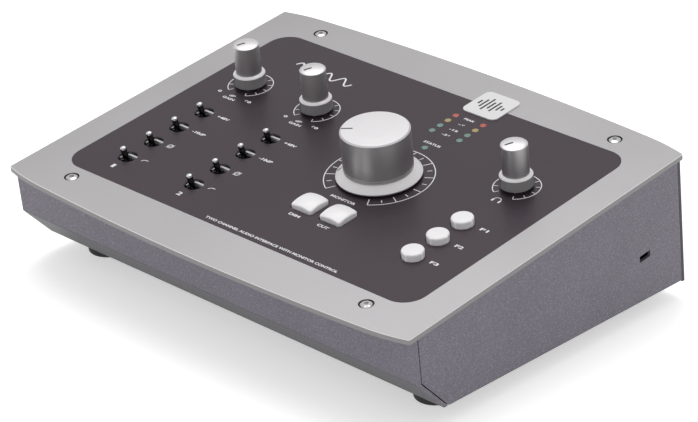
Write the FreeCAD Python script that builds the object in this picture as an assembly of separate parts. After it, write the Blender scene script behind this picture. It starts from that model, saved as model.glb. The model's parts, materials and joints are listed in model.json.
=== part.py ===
import FreeCAD, Part
import math
import os

# Desktop audio interface: a folded sheet-metal case under a sloping control deck.
#
# Deck frame, used for the deck, its controls and the rear sockets: origin at the middle of the
# black control field on the deck's top face, X to the right, Y up the slope to the rear and
# Z square out of the deck. Level frame, used for the bottom, feet and main board: the same
# origin, with Z upright. Every finished piece ends in the part's own frame, which is level,
# centred on the deck and has Z = 0 under the feet.

Point = FreeCAD.Vector
ORIGIN = Point(0, 0, 0)
RIGHT = Point(1, 0, 0)
REARWARD = Point(0, 1, 0)
UPRIGHT = Point(0, 0, 1)

os.makedirs("parts", exist_ok=True)

# ---- Driving dimensions, in millimetres and degrees ---------------------------------------

# Deck: the silver plate with gently bowed front and rear edges.
deck_width = 231.0
deck_front = 92.3
deck_back = 90.9
deck_thickness = 2.4
deck_tilt = 7.5
edge_bow_radius = 1390.0
corner_bow_radius = 100.0
corner_bow_start = 95.0
deck_corner_radius = 1.2
deck_edge_chamfer = 0.3

# Black control field, laid into a shallow pocket of the deck.
field_width = 200.0
field_depth = 138.0
field_corner_radius = 10.0
overlay_thickness = 0.35
overlay_gap = 0.1

# White badge plate over the rear edge of the field.
badge_place = (23.0, 69.8)
badge_size = 19.0
badge_corner_radius = 3.0
badge_thickness = 0.5

# Case: sheet-metal tray with a front wall, a chin, a level bottom and two sides.
sheet = 1.5
case_side_setback = 0.2
case_front = 82.5
case_back = 82.0
case_depth = 49.8
chin_drop = 23.6
chin_foot = 63.0
bend_radius = 1.4
seam = 0.45
deck_gap = 0.25
rear_gap = 0.2
flange_depth = 13.0
flange_end_gap = 3.0
relief_notch = 1.8

# Lock slot in the right-hand side.
lock_slot_length = 7.0
lock_slot_height = 3.0
lock_slot_corner = 0.5
lock_slot_place = (56.7, -36.0)

# Screws.
screw_radius = 1.5
button_head_radius = 2.85
button_head_height = 1.65
button_head_profile = ((1.0, 0.35), (0.88, 0.72), (0.58, 1.0))
hex_key = 2.0
hex_key_depth = 1.1
counterbore_radius = 3.3
counterbore_depth = 1.3
deck_screw_length = 9.0
deck_screw_span = 85.3
deck_screw_shift = -0.8
deck_screw_rows = (-76.2, 77.6)

# Feet.
foot_radius = 9.0
foot_height = 8.0
foot_taper = 0.7
foot_edge_radius = 1.2
foot_recess_radius = 3.6
foot_recess_depth = 4.2
foot_span = 96.0
foot_rows = (-48.0, 70.0)
foot_screw_length = 6.0

# Rotary controls.
knob_row = 24.9
gain_columns = (-78.9, -38.3)
headphone_column = 75.5
monitor_place = (22.4, -1.0)
shaft_radius = 3.0
shaft_clearance = 0.06
bushing_radius = 3.5
bushing_height = 4.2
bushing_hole_gap = 0.15
nut_flats = 9.5
nut_thickness = 1.8
pot_size = 11.0
pot_end_wall = 1.0
minimum_pointer_angle = 240.0
monitor_pointer_angle = 214.0
pointer_width = 0.8
pointer_depth = 0.4

# Small knob: a slim body on a wider collar.
knob_foot = 1.2
knob_collar_radius = 7.15
knob_collar_top = 6.2
knob_body_foot = 7.0
knob_body_radius = 5.75
knob_top = 21.0
knob_bevel = 0.25
knob_dome = 0.65
knob_recess_radius = 6.1
knob_recess_top = 5.2
knob_bore_top = 16.0
collar_mark_width = 0.9
collar_mark_depth = 0.35

# Monitor knob: a large hollow body on a sloping skirt.
skirt_foot = 0.7
skirt_radius = 18.4
skirt_edge_top = 1.9
skirt_slope_top = 4.2
skirt_slope_radius = 15.4
monitor_body_radius = 14.9
monitor_groove_depth = 0.4
monitor_groove_top = 4.9
monitor_top = 22.8
monitor_bevel = 0.9
monitor_cavity_radius = 12.4
monitor_cavity_top = 18.5
monitor_boss_radius = 6.2
monitor_boss_foot = 6.6
monitor_pointer_length = 5.4

# Toggle switches, four for each channel.
toggle_columns = (-78.2, -37.6)
toggle_first_row = -50.7
toggle_pitch = 15.33
toggle_hole_radius = 4.35
toggle_lean = 14.5
toggle_pivot_depth = 6.0
toggle_reach = 9.3
toggle_stem_radius = 0.95
toggle_tip_radius = 1.35
toggle_ball_radius = 1.5
toggle_pin_radius = 0.6
toggle_pin_length = 6.4
toggle_pin_clearance = 0.05
toggle_tail = 2.2
toggle_slot_length = 5.8
toggle_slot_width = 3.5
toggle_frame_inside = (9.2, 6.4)
toggle_frame_wall = 1.25
toggle_frame_height = 1.0
toggle_floor = 1.0

# Push buttons: two square keys and three round ones.
key_size = 12.0
key_corner_radius = 1.6
key_height = 3.0
key_first_column = 14.5
key_spacing = 4.1
key_row = -34.7
round_key_radius = 4.8
round_key_height = 3.3
round_key_column = 76.0
round_key_rows = (-9.5, -24.5, -39.5)
key_edge_radius = 0.9
key_gap = 0.3
key_travel = 1.0
key_flange = 0.9
key_flange_thickness = 1.0
key_flange_gap = 0.2
key_stem_radius = 1.7
switch_size = 6.0
switch_height = 1.7
press_gap = 0.1

# Indicator lamps.
lamp_radius = 1.5
lamp_hole_gap = 0.1
lamp_dome = 0.3
lamp_shoulder_radius = 1.05
lamp_shoulder_height = 0.22
meter_columns = (15.2, 30.7)
meter_top_row = 55.4
meter_pitch = 5.1
status_place = (22.5, 27.3)

# Circuit boards and what holds them.
board_thickness = 1.6
control_board_drop = 11.5
control_board_margin = 3.0
spacer_flats = 5.5
spacer_places = ((-92, -60), (0, -60), (92, -60), (-92, 60), (0, 50), (92, 60))
board_screw_length = 5.0
pan_head_radius = 2.8
pan_head_height = 2.0
pan_head_straight = 1.1
pan_head_crown_radius = 2.25
main_board_lift = 6.0
main_board_width = 210.0
main_board_rows = (-42.0, 72.0)
main_spacer_places = ((-98, -34), (98, -34), (-98, 50), (98, 50))
ribbon_width = 40.0
ribbon_thickness = 1.0
ribbon_place = (-10.0, -22.0)
ribbon_plug_width = 46.0
ribbon_plug_depth = 6.0
ribbon_plug_height = 5.0

# Rear sockets, placed as (X, Z) of the deck frame.
high_socket_row = -20.5
low_socket_gap = 0.92
mic_columns = (-84.0, -52.0)
mic_drop = 1.24
mic_radius = 11.9
mic_flange = (26.0, 31.0)
mic_flange_thickness = 2.0
mic_groove = (7.0, 9.4)
mic_groove_depth = 16.0
mic_insert_step = 1.8
mic_lip = 0.8
mic_screw_spread = (9.5, 12.0)
jack_bore_radius = 3.25
jack_bushing_radius = 4.5
jack_body = (15.0, 12.0)
jack_thread = 2.9
jack_nut_flats = 11.5
jack_nut_thickness = 2.2
insert_columns = (-20.0, -2.0)
output_columns = (18.0, 36.0)
headphone_jack_column = 54.0
socket_depth = 26.0
socket_board_gap = 0.8
socket_end_wall = 3.0
optical_columns = (52.0, 66.0)
optical_body = (10.0, 10.4)
optical_mouth = 7.8
optical_depth = 14.0
optical_well = 9.0
usb_column = 74.0
usb_body = (12.0, 11.0)
usb_mouth = (8.6, 7.9)
usb_tongue = (5.6, 3.2)
usb_depth = 16.0
usb_well = 12.0
usb_tongue_setback = 1.0
inlet_column = 85.0
inlet_drop = 0.5
inlet_radius = 5.5
inlet_mouth_radius = 3.0
inlet_pin_radius = 1.0
inlet_depth = 12.0
inlet_well = 9.0
inlet_pin_setback = 1.0
inlet_nut_flats = 14.0
socket_lip = 0.8
cutout_gap = 0.15

# Power switch.
rocker_column = 99.0
rocker_rise = 18.0
rocker_radius = 8.0
rocker_width = 11.0
rocker_gap = 0.35
rocker_lean = 8.0
rocker_root = 2.0
rocker_crest = 4.3
rocker_valley = 3.1
rocker_bezel = (15.4, 21.4)
rocker_bezel_thickness = 1.5
rocker_case = (13.4, 19.4)
rocker_case_depth = 14.0

# How far a cutting shape reaches past the surfaces that it cuts, and how far a hollow's open
# sides are carried outside the outline that it is cut from.
past = 1.0
open_side = -10.0

# ---- Values worked out from the driving dimensions ----------------------------------------

tilt_sine = math.sin(math.radians(deck_tilt))
tilt_cosine = math.cos(math.radians(deck_tilt))
case_half_width = deck_width / 2 - case_side_setback
inside_half_width = case_half_width - sheet
wall_top = -deck_thickness - deck_gap
board_top = -control_board_drop
board_bottom = board_top - board_thickness
rear_inner = case_back - sheet
bottom_inner = -case_depth + sheet
main_board_bottom = bottom_inner + main_board_lift
main_board_top = main_board_bottom + board_thickness
key_columns = (key_first_column, key_first_column + key_size + key_spacing)
socket_back = case_back - socket_depth
socket_floor = (main_board_top - socket_back * tilt_sine) / tilt_cosine
low_socket_row = socket_floor + low_socket_gap + jack_body[1] / 2
socket_rows = (high_socket_row, low_socket_row)
mic_row = (board_bottom + socket_floor) / 2 - mic_drop
inlet_place = (inlet_column, low_socket_row - inlet_drop)
rocker_place = (rocker_column, inlet_place[1] + rocker_rise)
toggle_frame_outside = [side + 2 * toggle_frame_wall for side in toggle_frame_inside]
toggle_body_top = -deck_thickness - toggle_frame_height

# ---- Shape helpers ------------------------------------------------------------------------


def block(x_range, y_range, z_range):
    """A rectangular solid between three pairs of limits."""
    size = [high - low for low, high in (x_range, y_range, z_range)]
    return Part.makeBox(*size, Point(x_range[0], y_range[0], z_range[0]))


def around(middle, size):
    """The two limits of a size centred on a place."""
    return (middle - size / 2, middle + size / 2)


def peg(radius, z_range, place):
    """A cylinder square to the deck."""
    low, high = z_range
    return Part.makeCylinder(radius, high - low, Point(place[0], place[1], low), UPRIGHT)


def rod(radius, y_range, place):
    """A cylinder that points to the rear, at (X, Z)."""
    near, far = y_range
    return Part.makeCylinder(radius, far - near, Point(place[0], near, place[1]), REARWARD)


def rounded_plate(place, size, corner, z_range):
    """A plate with rounded corners, centred on a place."""
    plate = block(around(place[0], size[0]), around(place[1], size[1]), z_range)
    return plate.makeFillet(corner, edges_along(plate, UPRIGHT))


def edges_along(shape, direction):
    """The straight edges of a shape that run along a direction."""
    found = []
    for edge in shape.Edges:
        if len(edge.Vertexes) == 2:
            run = edge.Vertexes[1].Point - edge.Vertexes[0].Point
            if run.cross(direction).Length < 1e-6:
                found.append(edge)
    return found


def edges_at_height(shape, height):
    """The edges of a shape that lie at one height."""
    return [edge for edge in shape.Edges
            if abs(edge.BoundBox.ZMin - height) < 1e-6 and abs(edge.BoundBox.ZMax - height) < 1e-6]


def turned(outline, place):
    """A solid turned about an axis square to the deck, from (radius, height) points."""
    corners = [Point(radius, 0, height) for radius, height in outline]
    face = Part.Face(Part.makePolygon(corners + corners[:1]))
    solid = face.revolve(ORIGIN, UPRIGHT, 360)
    solid.translate(Point(place[0], place[1], 0))
    return solid


def turned_rearward(outline, place):
    """A solid turned about an axis that points to the rear, from (radius, distance) points."""
    corners = [Point(radius, distance, 0) for radius, distance in outline]
    face = Part.Face(Part.makePolygon(corners + corners[:1]))
    solid = face.revolve(ORIGIN, REARWARD, 360)
    solid.translate(Point(place[0], 0, place[1]))
    return solid


def side_prism(outline, x_range):
    """A solid with a (Y, Z) outline, drawn out along X."""
    corners = [Point(x_range[0], y, z) for y, z in outline]
    face = Part.Face(Part.makePolygon(corners + corners[:1]))
    return face.extrude(Point(x_range[1] - x_range[0], 0, 0))


def hex_bar(flats, z_range, place):
    """A six-sided bar square to the deck, with its size across the flats."""
    reach = flats / math.sqrt(3)
    corners = [Point(place[0] + reach * math.cos(math.radians(60 * turn)),
                     place[1] + reach * math.sin(math.radians(60 * turn)), z_range[0])
               for turn in range(6)]
    face = Part.Face(Part.makePolygon(corners + corners[:1]))
    return face.extrude(Point(0, 0, z_range[1] - z_range[0]))


def rear_nut(flats, hole_radius, thickness, place):
    """A hexagon nut that clamps a socket against the outside of the rear panel."""
    nut = hex_bar(flats, (0, thickness), (0, 0))
    nut = nut.cut(peg(hole_radius, (0, thickness), (0, 0)))
    nut.rotate(ORIGIN, RIGHT, -90)
    nut.translate(Point(place[0], case_back, place[1]))
    return nut


def joined(shapes):
    """One solid from overlapping shapes."""
    whole = shapes[0].fuse(list(shapes[1:]))
    return whole.removeSplitter()


def to_deck(shape):
    """Turns a shape drawn in the level frame into the deck frame."""
    shape.rotate(ORIGIN, RIGHT, -deck_tilt)
    return shape


def deck_to_level(y, z):
    """The level (Y, Z) of a point given in the deck frame."""
    return (y * tilt_cosine - z * tilt_sine, y * tilt_sine + z * tilt_cosine)


def level_to_deck(y, z):
    """The deck (Y, Z) of a point given in the level frame."""
    return (y * tilt_cosine + z * tilt_sine, -y * tilt_sine + z * tilt_cosine)


# ---- Saving pieces in the part's own frame ------------------------------------------------

front_reach = deck_to_level(-deck_front, 0)[0]
back_reach = deck_to_level(deck_back, -deck_thickness)[0]
centre_shift = -(front_reach + back_reach) / 2
lift = case_depth + foot_height


def save(name, shapes, level=False):
    """Writes one node; pieces drawn in the deck frame are tilted with the deck."""
    shape = shapes if isinstance(shapes, Part.Shape) else Part.makeCompound(shapes)
    if not level:
        shape.rotate(ORIGIN, RIGHT, deck_tilt)
    shape.translate(Point(0, centre_shift, lift))
    shape.exportStep("parts/" + name + ".step")
    print(name, "solids", len(shape.Solids), "volume", round(shape.Volume, 1))


# ---- Places of the controls ---------------------------------------------------------------

small_knob_places = {
    "gain_knob_1": (gain_columns[0], knob_row),
    "gain_knob_2": (gain_columns[1], knob_row),
    "headphone_knob": (headphone_column, knob_row),
}
rotary_places = list(small_knob_places.values()) + [monitor_place]
toggle_names = ("high_pass", "phase", "pad", "phantom")
toggle_places = {}
for channel, column in enumerate(toggle_columns, start=1):
    for step, function in enumerate(toggle_names):
        place = (column, toggle_first_row + step * toggle_pitch)
        toggle_places[function + "_lever_" + str(channel)] = place
square_key_places = {"dim_button": (key_columns[0], key_row), "cut_button": (key_columns[1], key_row)}
round_key_places = {"function_button_" + str(number): (round_key_column, row)
                    for number, row in enumerate(round_key_rows, start=1)}
lamp_rows = [meter_top_row - step * meter_pitch for step in range(4)]
lamp_places = {
    "red_lamps": [(column, lamp_rows[0]) for column in meter_columns],
    "yellow_lamps": [(column, lamp_rows[1]) for column in meter_columns],
    "green_lamps": [(column, row) for row in lamp_rows[2:] for column in meter_columns] + [status_place],
}
deck_screw_places = [(side * deck_screw_span + deck_screw_shift, row)
                     for row in deck_screw_rows for side in (-1, 1)]

# ---- Deck and overlay ---------------------------------------------------------------------


def bowed_edge(middle, outward):
    """Three tangent arcs of the deck's front or rear edge, with its two end points."""
    lean = math.asin(corner_bow_start / edge_bow_radius)
    join_y = middle - outward * edge_bow_radius * (1 - math.cos(lean))
    centre_x = corner_bow_start - corner_bow_radius * math.sin(lean)
    centre_y = join_y - outward * corner_bow_radius * math.cos(lean)
    end_lean = math.asin((deck_width / 2 - centre_x) / corner_bow_radius)

    def on_corner(side, angle):
        x = centre_x + corner_bow_radius * math.sin(angle)
        y = centre_y + outward * corner_bow_radius * math.cos(angle)
        return Point(side * x, y, 0)

    joins = [Point(side * corner_bow_start, join_y, 0) for side in (-1, 1)]
    ends = [on_corner(side, end_lean) for side in (-1, 1)]
    halfway = [on_corner(side, (lean + end_lean) / 2) for side in (-1, 1)]
    arcs = [Part.Arc(ends[0], halfway[0], joins[0]),
            Part.Arc(joins[0], Point(0, middle, 0), joins[1]),
            Part.Arc(joins[1], halfway[1], ends[1])]
    return [arc.toShape() for arc in arcs], ends


def control_openings(z_range):
    """Everything that passes through the deck's control field."""
    cuts = [peg(bushing_radius + bushing_hole_gap, z_range, place) for place in rotary_places]
    cuts += [peg(toggle_hole_radius, z_range, place) for place in toggle_places.values()]
    hole = key_size + 2 * key_gap
    cuts += [rounded_plate(place, (hole, hole), key_corner_radius + key_gap, z_range)
             for place in square_key_places.values()]
    cuts += [peg(round_key_radius + key_gap, z_range, place) for place in round_key_places.values()]
    cuts += [peg(lamp_radius + lamp_hole_gap, z_range, place)
             for places in lamp_places.values() for place in places]
    return cuts


def make_deck():
    """The sloping plate, with its pocket, control openings and counterbored screw holes."""
    front_arcs, front_ends = bowed_edge(-deck_front, -1)
    back_arcs, back_ends = bowed_edge(deck_back, 1)
    sides = [Part.makeLine(front_ends[side], back_ends[side]) for side in (0, 1)]
    outline = Part.Wire(Part.__sortEdges__(front_arcs + back_arcs + sides))
    deck = Part.Face(outline).extrude(Point(0, 0, -deck_thickness))
    deck = deck.makeFillet(deck_corner_radius, edges_along(deck, UPRIGHT))
    deck = deck.makeChamfer(deck_edge_chamfer, edges_at_height(deck, 0))
    pocket_size = (field_width + 2 * overlay_gap, field_depth + 2 * overlay_gap)
    pocket_corner = field_corner_radius + overlay_gap
    cuts = [rounded_plate((0, 0), pocket_size, pocket_corner, (-overlay_thickness, past))]
    cuts += control_openings((-deck_thickness - past, past))
    for place in deck_screw_places:
        cuts.append(peg(screw_radius + cutout_gap, (-deck_thickness - past, past), place))
        cuts.append(peg(counterbore_radius, (-counterbore_depth, past), place))
    return deck.cut(cuts)


def make_overlay():
    """The black film that fills the deck's pocket."""
    film = rounded_plate((0, 0), (field_width, field_depth), field_corner_radius, (-overlay_thickness, 0))
    return film.cut(control_openings((-overlay_thickness - past, past)))


def button_screw(place, seat, length):
    """A round-headed screw with a hexagon socket, standing on its seat."""
    crown = seat + button_head_height
    rim = button_head_radius
    outline = [(0, seat - length), (screw_radius, seat - length), (screw_radius, seat), (rim, seat)]
    outline += [(width * rim, seat + height * button_head_height) for width, height in button_head_profile]
    outline.append((0, crown))
    return turned(outline, place).cut(hex_bar(hex_key, (crown - hex_key_depth, crown + past), place))


save("top_deck", make_deck())
save("control_overlay", make_overlay())
save("badge", rounded_plate(badge_place, (badge_size, badge_size), badge_corner_radius, (0, badge_thickness)))
deck_screws = [button_screw(place, -counterbore_depth, deck_screw_length) for place in deck_screw_places]
save("deck_screws", deck_screws)

# ---- Case ---------------------------------------------------------------------------------


def inset(outline, distances):
    """A convex outline with each side moved inwards by its own distance."""
    count = len(outline)
    moved = []
    for index in range(count):
        start = Point(*outline[index], 0)
        run = Point(*outline[(index + 1) % count], 0) - start
        run.normalize()
        moved.append((start + Point(-run.y, run.x, 0) * distances[index], run))
    corners = []
    for index in range(count):
        (here, run), (last, last_run) = moved[index], moved[index - 1]
        along = (last - here).cross(last_run).z / run.cross(last_run).z
        meet = here + run * along
        corners.append((meet.x, meet.y))
    return corners


chin_corner = level_to_deck(-chin_foot, -case_depth)
tray_end = case_back - sheet - rear_gap


def bottom_height(y):
    """Deck-frame height of the level bottom at a distance up the slope."""
    return (-case_depth - y * tilt_sine) / tilt_cosine


# Sides in order: front wall, chin, bottom, rear end, top.
case_outline = [(-case_front, wall_top), (-case_front, -chin_drop), chin_corner,
                (tray_end, bottom_height(tray_end)), (tray_end, wall_top)]


def make_case():
    """The folded tray: front wall with its top flange, chin, bottom and both sides."""
    full = side_prism(case_outline, (-case_half_width, case_half_width))
    bends = [edge for edge in edges_along(full, RIGHT)
             if edge.BoundBox.ZMax < wall_top - sheet and edge.BoundBox.YMax < 0]
    bottom_run = Point(0, tilt_cosine, -tilt_sine)
    bends += edges_along(full, bottom_run)
    full = full.makeFillet(bend_radius, bends)
    hollow = inset(case_outline, (sheet, sheet, sheet, open_side, open_side))
    tray = full.cut(side_prism(hollow, (-inside_half_width, inside_half_width)))

    # A thin seam parts each side from the front wall and the chin, with a notch at its foot.
    seam_front = inset(case_outline, (sheet, sheet, open_side, open_side, open_side))
    seam_back = inset(case_outline, (sheet + seam, sheet + seam, open_side, open_side, open_side))
    notch_middle = inset(case_outline, (sheet, sheet + seam / 2, 0, open_side, open_side))[2]
    for side in (-1, 1):
        limits = sorted((side * inside_half_width, side * (case_half_width + past)))
        cut = side_prism(seam_front, limits).cut(side_prism(seam_back, limits))
        notch = block(limits, around(notch_middle[0], relief_notch), around(notch_middle[1], relief_notch))
        tray = tray.cut([cut, notch])

    flange = block((-inside_half_width + flange_end_gap, inside_half_width - flange_end_gap),
                   (-case_front + sheet / 2, -case_front + sheet + flange_depth),
                   (-deck_thickness - sheet, -deck_thickness))
    tray = joined([tray, flange])

    cuts = [peg(screw_radius, (-deck_thickness - sheet - past, 0), place) for place in deck_screw_places]
    slot_y, slot_z = lock_slot_place
    slot = block((inside_half_width - past, case_half_width + past), around(slot_y, lock_slot_length),
                 around(slot_z, lock_slot_height))
    cuts.append(slot.makeFillet(lock_slot_corner, edges_along(slot, RIGHT)))
    holes = [(side * foot_span, row) for side in (-1, 1) for row in foot_rows]
    holes += rear_panel_screw_places
    cuts += [to_deck(peg(screw_radius, (-case_depth - past, bottom_inner + past), place)) for place in holes]
    return tray.cut(cuts)


rear_flange_start = rear_inner - flange_depth
rear_screw_row = deck_to_level(rear_inner - flange_depth / 2, bottom_height(rear_inner))[0]
rear_panel_screw_places = [(x, rear_screw_row) for x in (-70.0, 0.0, 70.0)]
mic_places = [(column, mic_row) for column in mic_columns]
mic_screw_places = [(x + side * mic_screw_spread[0], z + side * mic_screw_spread[1])
                    for x, z in mic_places for side in (-1, 1)]
insert_places = [(column, row) for column in insert_columns for row in socket_rows]
output_places = [(column, row) for column in output_columns for row in socket_rows]
headphone_jack_place = (headphone_jack_column, socket_rows[0])
jack_places = insert_places + output_places + [headphone_jack_place]
optical_places = [(column, socket_rows[1]) for column in optical_columns]
usb_place = (usb_column, socket_rows[0])


def rear_window(place, size, gap=cutout_gap):
    """A rectangular cut through the rear panel."""
    return block(around(place[0], size[0] + 2 * gap), (rear_inner - past, case_back + past),
                 around(place[1], size[1] + 2 * gap))


def make_rear_panel():
    """The rear wall, with a flange under the deck, one on the bottom and the socket cut-outs."""
    foot_z = bottom_height(case_back)
    wall = side_prism([(rear_inner, wall_top), (rear_inner, bottom_height(rear_inner)),
                       (case_back, foot_z), (case_back, wall_top)],
                      (-case_half_width, case_half_width))
    flange_limits = (-inside_half_width + flange_end_gap, inside_half_width - flange_end_gap)
    top_flange = block(flange_limits, (rear_flange_start, rear_inner + sheet / 2),
                       (-deck_thickness - sheet, -deck_thickness))
    foot_y = deck_to_level(rear_inner, bottom_height(rear_inner))[0]
    foot_flange = to_deck(block(flange_limits, (foot_y - flange_depth, foot_y + sheet / 2),
                                (bottom_inner, bottom_inner + sheet)))
    panel = joined([wall, top_flange, foot_flange])
    through = (rear_inner - past, case_back + past)
    cuts = [rod(mic_radius + cutout_gap, through, place) for place in mic_places]
    cuts += [rod(screw_radius + cutout_gap, through, place) for place in mic_screw_places]
    cuts += [rod(jack_bushing_radius + cutout_gap, through, place) for place in jack_places]
    cuts += [rear_window(place, optical_body) for place in optical_places]
    cuts.append(rear_window(usb_place, usb_body))
    cuts.append(rod(inlet_radius + cutout_gap, through, inlet_place))
    cuts.append(rear_window(rocker_place, rocker_case))
    cuts += [peg(screw_radius, (-deck_thickness - sheet - past, 0), place) for place in deck_screw_places]
    cuts += [to_deck(peg(screw_radius, (bottom_inner - past, bottom_inner + sheet + past), place))
             for place in rear_panel_screw_places]
    return panel.cut(cuts)


def pan_screw(place, seat, length, down=1):
    """A pan-headed screw whose head stands on a seat; down is -1 for a head that hangs below."""
    head = seat + down * pan_head_height
    tip = seat - down * length
    outline = [(0, tip), (screw_radius, tip), (screw_radius, seat), (pan_head_radius, seat),
               (pan_head_radius, seat + down * pan_head_straight), (pan_head_crown_radius, head), (0, head)]
    return turned(outline, place)


def rear_screw(place):
    """A pan-headed screw through the rear panel into a socket's flange."""
    screw = pan_screw((0, 0), 0, sheet + mic_flange_thickness)
    screw.rotate(ORIGIN, RIGHT, -90)
    screw.translate(Point(place[0], case_back, place[1]))
    return screw


save("chassis", make_case())
save("rear_panel", make_rear_panel())
bottom_screws = [to_deck(pan_screw(place, -case_depth, 2 * sheet, -1)) for place in rear_panel_screw_places]
save("rear_panel_screws", bottom_screws + [rear_screw(place) for place in mic_screw_places])

# ---- Feet ---------------------------------------------------------------------------------


def make_foot(place):
    """A round rubber foot with a recess for its screw."""
    top = -case_depth
    ground = top - foot_height
    foot = turned([(0, ground), (foot_radius - foot_taper, ground), (foot_radius, top), (0, top)], place)
    foot = foot.makeFillet(foot_edge_radius, edges_at_height(foot, ground))
    recess = peg(foot_recess_radius, (ground - past, ground + foot_recess_depth), place)
    return foot.cut([recess, peg(screw_radius, (ground, top), place)])


foot_places = [(side * foot_span, row) for side in (-1, 1) for row in foot_rows]
foot_seat = -case_depth - foot_height + foot_recess_depth
save("feet", [make_foot(place) for place in foot_places], level=True)
save("foot_screws", [pan_screw(place, foot_seat, foot_screw_length, -1) for place in foot_places], level=True)

# ---- Rotary controls ----------------------------------------------------------------------


def pointer_cut(place, angle, inner, outer, width, z_range):
    """A straight groove from an inner to an outer radius, at an angle about a place."""
    groove = block((inner, outer), around(0, width), z_range)
    groove.rotate(ORIGIN, UPRIGHT, angle)
    groove.translate(Point(place[0], place[1], 0))
    return groove


def dome(place, top, radius, rise):
    """A ball whose crown is at the top, and which has fallen by the rise at a radius."""
    ball_radius = (radius**2 + rise**2) / (2 * rise)
    return Part.makeSphere(ball_radius, Point(place[0], place[1], top - ball_radius))


def make_small_knob(place):
    """A slim domed knob on a wider collar, hollow below for the nut and bored for the shaft."""
    rim = knob_top - knob_dome
    rim_radius = knob_body_radius - knob_bevel
    outline = [(knob_recess_radius, knob_foot), (knob_collar_radius, knob_foot),
               (knob_collar_radius, knob_collar_top), (knob_body_radius, knob_body_foot),
               (knob_body_radius, rim - knob_bevel), (rim_radius, rim), (rim_radius, knob_top),
               (0, knob_top), (0, knob_bore_top), (shaft_radius, knob_bore_top),
               (shaft_radius, knob_recess_top), (knob_recess_radius, knob_recess_top)]
    knob = turned(outline, place).common(dome(place, knob_top, rim_radius, knob_dome))
    line = pointer_cut(place, minimum_pointer_angle, 0, knob_body_radius + past, pointer_width,
                       (rim - pointer_depth, knob_top + past))
    mark = pointer_cut(place, minimum_pointer_angle, knob_collar_radius - collar_mark_depth,
                       knob_collar_radius + past, collar_mark_width,
                       (knob_foot - past, knob_collar_top + past))
    return knob.cut([line, mark])


def make_monitor_knob():
    """The large knob: a sloping skirt, a fine groove and a tall hollow body."""
    groove_radius = monitor_body_radius - monitor_groove_depth
    outline = [(monitor_cavity_radius, skirt_foot), (skirt_radius, skirt_foot),
               (skirt_radius, skirt_edge_top), (skirt_slope_radius, skirt_slope_top),
               (groove_radius, skirt_slope_top), (groove_radius, monitor_groove_top),
               (monitor_body_radius, monitor_groove_top),
               (monitor_body_radius, monitor_top - monitor_bevel),
               (monitor_body_radius - monitor_bevel, monitor_top), (0, monitor_top),
               (0, knob_bore_top), (shaft_radius, knob_bore_top), (shaft_radius, monitor_boss_foot),
               (monitor_boss_radius, monitor_boss_foot), (monitor_boss_radius, monitor_cavity_top),
               (monitor_cavity_radius, monitor_cavity_top)]
    knob = turned(outline, monitor_place)
    line = pointer_cut(monitor_place, monitor_pointer_angle, monitor_body_radius - monitor_pointer_length,
                       monitor_body_radius + past, pointer_width,
                       (monitor_top - pointer_depth, monitor_top + past))
    return knob.cut(line)


def make_shaft(place):
    """The turning shaft of a rotary control, from its body up into the knob."""
    return peg(shaft_radius, (board_top + pot_end_wall + shaft_clearance, knob_bore_top), place)


def make_rotary_body(place):
    """The fixed body of a rotary control, with the threaded bushing that passes the deck."""
    body = block(around(place[0], pot_size), around(place[1], pot_size), (board_top, -deck_thickness))
    bushing = peg(bushing_radius, (-deck_thickness - past, bushing_height), place)
    bore = peg(shaft_radius + shaft_clearance, (board_top + pot_end_wall, bushing_height + past), place)
    return joined([body, bushing]).cut(bore)


def make_nut(place):
    """The hexagon nut that clamps a rotary control to the deck."""
    nut = hex_bar(nut_flats, (0, nut_thickness), place)
    return nut.cut(peg(bushing_radius, (-past, nut_thickness + past), place))


for name, place in small_knob_places.items():
    save(name, make_small_knob(place))
    save(name.replace("_knob", "_shaft"), make_shaft(place))
    save(name.replace("_knob", "_pot"), make_rotary_body(place))
save("monitor_knob", make_monitor_knob())
save("monitor_shaft", make_shaft(monitor_place))
save("monitor_encoder", make_rotary_body(monitor_place))
save("rotary_nuts", [make_nut(place) for place in rotary_places])

# ---- Toggle switches ----------------------------------------------------------------------


def make_lever(place):
    """A toggle's lever: pivot ball with its pin, tail, stem and rounded tip, leaning left."""
    pivot = Point(place[0], place[1], -toggle_pivot_depth)
    stem = Part.makeCylinder(toggle_stem_radius, toggle_reach + toggle_tail, pivot - UPRIGHT * toggle_tail)
    ball = Part.makeSphere(toggle_ball_radius, pivot)
    tip = Part.makeSphere(toggle_tip_radius, pivot + UPRIGHT * toggle_reach)
    pin = rod(toggle_pin_radius, around(place[1], toggle_pin_length), (place[0], -toggle_pivot_depth))
    lever = joined([stem, ball, tip, pin])
    lever.rotate(pivot, REARWARD, -toggle_lean)
    return lever


def make_toggle_body(place):
    """A toggle's fixed case on the control board, with a slot for the lever and its pin's hole."""
    case = block(around(place[0], toggle_frame_outside[0]), around(place[1], toggle_frame_outside[1]),
                 (board_top, toggle_body_top))
    slot = block(around(place[0], toggle_slot_length), around(place[1], toggle_slot_width),
                 (board_top + toggle_floor, 0))
    pin_hole = rod(toggle_pin_radius + toggle_pin_clearance, around(place[1], toggle_frame_outside[1] + past),
                   (place[0], -toggle_pivot_depth))
    return case.cut([slot, pin_hole])


def make_toggle_frame(place):
    """The bright metal frame between a toggle's case and the deck, seen through the hole."""
    z_range = (toggle_body_top, -deck_thickness)
    ring = block(around(place[0], toggle_frame_outside[0]), around(place[1], toggle_frame_outside[1]),
                 z_range)
    inside = block(around(place[0], toggle_frame_inside[0]), around(place[1], toggle_frame_inside[1]),
                   (z_range[0] - past, z_range[1] + past))
    return ring.cut(inside)


for name, place in toggle_places.items():
    save(name, make_lever(place))
save("toggle_bodies", [make_toggle_body(place) for place in toggle_places.values()])
save("toggle_frames", [make_toggle_frame(place) for place in toggle_places.values()])

# ---- Push buttons -------------------------------------------------------------------------

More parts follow.
